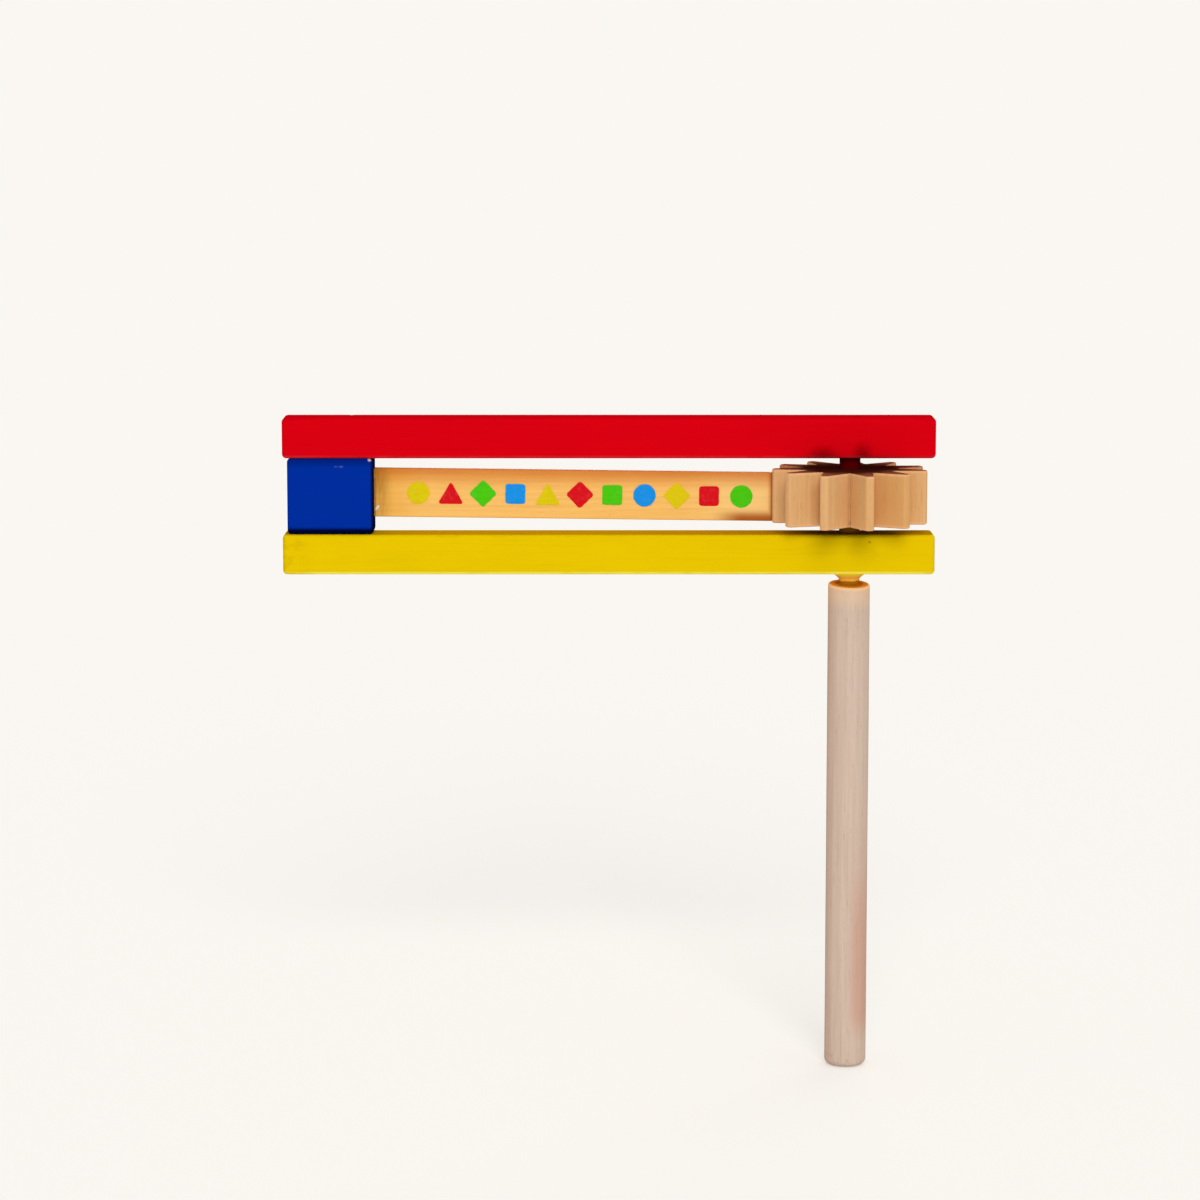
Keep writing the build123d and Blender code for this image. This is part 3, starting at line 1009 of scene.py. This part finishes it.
class GRAGGER_OT_glue(bpy.types.Operator):
    """Models the glue that squeezed out beside the reed and round the spindle"""

    bl_idname = "gragger.glue"
    bl_label = "Glue"

    drop_radius = 0.42 * mm
    drop_below_middle = 3.9 * mm
    drop_turn = 0.75
    bead_sides = 12
    bead_rings = 26
    ring_reach = 0.45 * mm
    ring_steps = 56

    def execute(self, context):
        sizes, colours = settings(context)
        amber = glue_look("amber_glue", colours.glue)
        beads = bmesh.new()
        for side in (-1, 1):
            merge_shape(beads, self.bead(sizes, side), Matrix.Identity(4))
        bead = make_piece("glue_beads", beads, amber)
        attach(bead, "frame")
        drop = self.drop(sizes)
        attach(make_piece("glue_drop", drop, glue_look("white_glue", srgb(255, 252, 240))), "frame")
        ring = self.ring(sizes)
        neck_glue = glue_look("neck_glue", [0.5 * part for part in colours.shoulder_stain_and_reflection], gloss=0.0)
        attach(make_piece("glue_ring", ring, neck_glue), "handle")
        return {"FINISHED"}

    def bead(self, sizes, side):
        """A lumpy bead in the corner between the block and one face of the reed."""
        shape = bmesh.new()
        length = sizes.reed_height * 0.97
        bmesh.ops.create_cone(
            shape, cap_ends=True, segments=self.bead_sides,
            radius1=sizes.glue_radius, radius2=sizes.glue_radius, depth=length,
        )
        cuts = [length * (step / self.bead_rings - 0.5) for step in range(1, self.bead_rings)]
        cut_loops(shape, cuts, Vector((0, 0, 1)))
        for vertex in shape.verts:
            lump = noise.noise(Vector((7 * side, 2, vertex.co.z * 420)))
            vertex.co.x *= 1 + 0.75 * lump
            vertex.co.y *= 1 + 0.6 * lump
        place = Vector((block_high.x, side * sizes.reed_thickness / 2, root_middle(sizes)))
        shape.transform(Matrix.Translation(place))
        return shape

    def drop(self, sizes):
        """A lumpy drop on the front of the reed, low beside the block."""
        shape = bmesh.new()
        bmesh.ops.create_icosphere(shape, subdivisions=3, radius=self.drop_radius)
        for vertex in shape.verts:
            vertex.co *= 1 + 0.35 * noise.noise(vertex.co * 2600)
        height = root_middle(sizes) - self.drop_below_middle
        place = Matrix.Translation((block_high.x + 0.7 * mm, -sizes.reed_thickness / 2, height))
        flatten = Matrix.Diagonal((0.85, 0.45, 1.8, 1))
        shape.transform(place @ Matrix.Rotation(self.drop_turn, 4, "Y") @ flatten)
        return shape

    def ring(self, sizes):
        """A lumpy ring round the spindle on the handle's shoulder."""
        shape = bmesh.new()
        inner = sizes.socket_radius - 0.06 * mm
        base = handle_high.z - 0.05 * mm
        outline = ((0, 0), (1, 0), (0.45, 0.15), (0.12, 0.4), (0, 0.44), (0, 0))
        add_profile(shape, [(inner + out * self.ring_reach, base + rise * mm) for out, rise in outline])
        spin_profile(shape, self.ring_steps)
        for vertex in shape.verts:
            slope_shoulder(vertex, sizes)
            if vertex.co.xy.length > inner + 0.05 * self.ring_reach:
                lump = noise.noise(Vector((vertex.co.x * 500, vertex.co.y * 500, 3)))
                vertex.co.x *= 1 + 0.04 * lump
                vertex.co.y *= 1 + 0.04 * lump
        return shape


class GRAGGER_OT_stage(bpy.types.Operator):
    """Sets up the pale floor, the soft studio light and the camera"""

    bl_idname = "gragger.stage"
    bl_label = "Studio"

    camera_distance = 1.0
    camera_pitch = math.radians(8)
    camera_target = Vector((-62.2 * mm, 0, 118.7 * mm))
    camera_lens = 120
    fill_strength = 0.55
    floor_gain = 1.22
    floor_radius = 60
    floor_gap = 0.2 * mm

    # Strength, width in degrees and direction of the key light and of the one that lights the back
    lamps = {"key": (1.28, 26, (-0.06, 0.87, -0.48)), "back": (0.8, 50, (-0.35, -0.9, -0.25))}

    def execute(self, context):
        scene = context.scene
        scene.view_settings.view_transform = "Standard"
        pale = (*scene.gragger_colours.floor, 1)
        self.light_world(scene, pale)
        self.lay_floor(pale)
        self.hang_lamps()
        self.place_camera(scene)
        return {"FINISHED"}

    def light_world(self, scene, pale):
        """A pale background that lights the object softly from all round."""
        world = bpy.data.worlds.new("studio")
        world.use_nodes = True
        nodes = Nodes(world.node_tree)
        shown = world.node_tree.nodes["Background"]
        nodes.feed(shown.inputs["Color"], pale)
        fill = nodes.node("ShaderNodeBackground", {"Color": (1, 1, 1, 1), "Strength": self.fill_strength})
        nodes.show_mix("World Output", nodes.seen_rays(), fill, shown)
        scene.world = world

    def lay_floor(self, pale):
        """A wide floor that keeps a soft shadow near the object and fades to the background further out."""
        shape = bmesh.new()
        bmesh.ops.create_circle(shape, cap_ends=True, segments=64, radius=self.floor_radius)
        floor = add_object("floor", to_mesh("floor", shape))
        floor.location.z = handle_low.z - self.floor_gap
        look = Look("floor")
        look.tree.nodes.remove(look.shader)
        seen = look.seen_rays()
        lift = look.sum("ADD", 1.0, look.times(seen, self.floor_gain - 1))
        matt = look.node("ShaderNodeBsdfDiffuse", {"Color": look.vector("MULTIPLY", pale[:3], lift)})
        glow = look.node("ShaderNodeEmission", {"Color": pale})
        share = look.times(seen, look.band(look.vector("LENGTH", look.place), 0.25, 1.2, 0.4, 1.0))
        look.show_mix("Material Output", share, matt, glow)
        floor.data.materials.append(look.material)

    def hang_lamps(self):
        """A broad key light from the front right, a little above, and a weaker one from behind."""
        for name, (strength, width, beam) in self.lamps.items():
            lamp = bpy.data.lights.new(name, "SUN")
            lamp.energy = strength
            lamp.angle = math.radians(width)
            self.aim(add_object(name, lamp), Vector(beam))

    def place_camera(self, scene):
        """A long lens in front of the object, looking a little down on it."""
        camera = bpy.data.cameras.new("camera")
        camera.lens = self.camera_lens
        camera.sensor_width = 36
        camera.clip_end = 200
        back = Vector((0, -math.cos(self.camera_pitch), math.sin(self.camera_pitch)))
        scene.camera = add_object("camera", camera)
        scene.camera.location = self.camera_target + self.camera_distance * back
        self.aim(scene.camera, -back)

    @staticmethod
    def aim(holder, beam):
        """Turns a lamp or the camera along a beam."""
        holder.rotation_euler = beam.to_track_quat("-Z", "Y").to_euler()


class GRAGGER_PT_panel(bpy.types.Panel):
    """Lists the gragger's pieces, sizes and colours"""

    bl_idname = "GRAGGER_PT_panel"
    bl_label = "Gragger"
    bl_space_type = "VIEW_3D"
    bl_region_type = "UI"
    bl_category = "Gragger"

    def draw(self, context):
        for operator in operators:
            self.layout.operator(operator.bl_idname)
        for group in settings(context):
            column = self.layout.column()
            for name in group.__annotations__:
                column.prop(group, name, text=name.replace("_", " ").capitalize())


operators = (
    GRAGGER_OT_handle,
    GRAGGER_OT_cog,
    GRAGGER_OT_bars,
    GRAGGER_OT_block,
    GRAGGER_OT_nails,
    GRAGGER_OT_reed,
    GRAGGER_OT_marks,
    GRAGGER_OT_glue,
    GRAGGER_OT_stage,
)
classes = (GraggerSizes, GraggerColours, *operators, GRAGGER_PT_panel)


def register():
    for cls in classes:
        bpy.utils.register_class(cls)
    bpy.types.Scene.gragger_sizes = PointerProperty(type=GraggerSizes)
    bpy.types.Scene.gragger_colours = PointerProperty(type=GraggerColours)


def unregister():
    del bpy.types.Scene.gragger_colours
    del bpy.types.Scene.gragger_sizes
    for cls in reversed(classes):
        bpy.utils.unregister_class(cls)


def main():
    """Builds the object and the stage."""
    register()
    for operator in operators:
        module, name = operator.bl_idname.split(".")
        getattr(getattr(bpy.ops, module), name)()


if __name__ == "__main__":
    main()
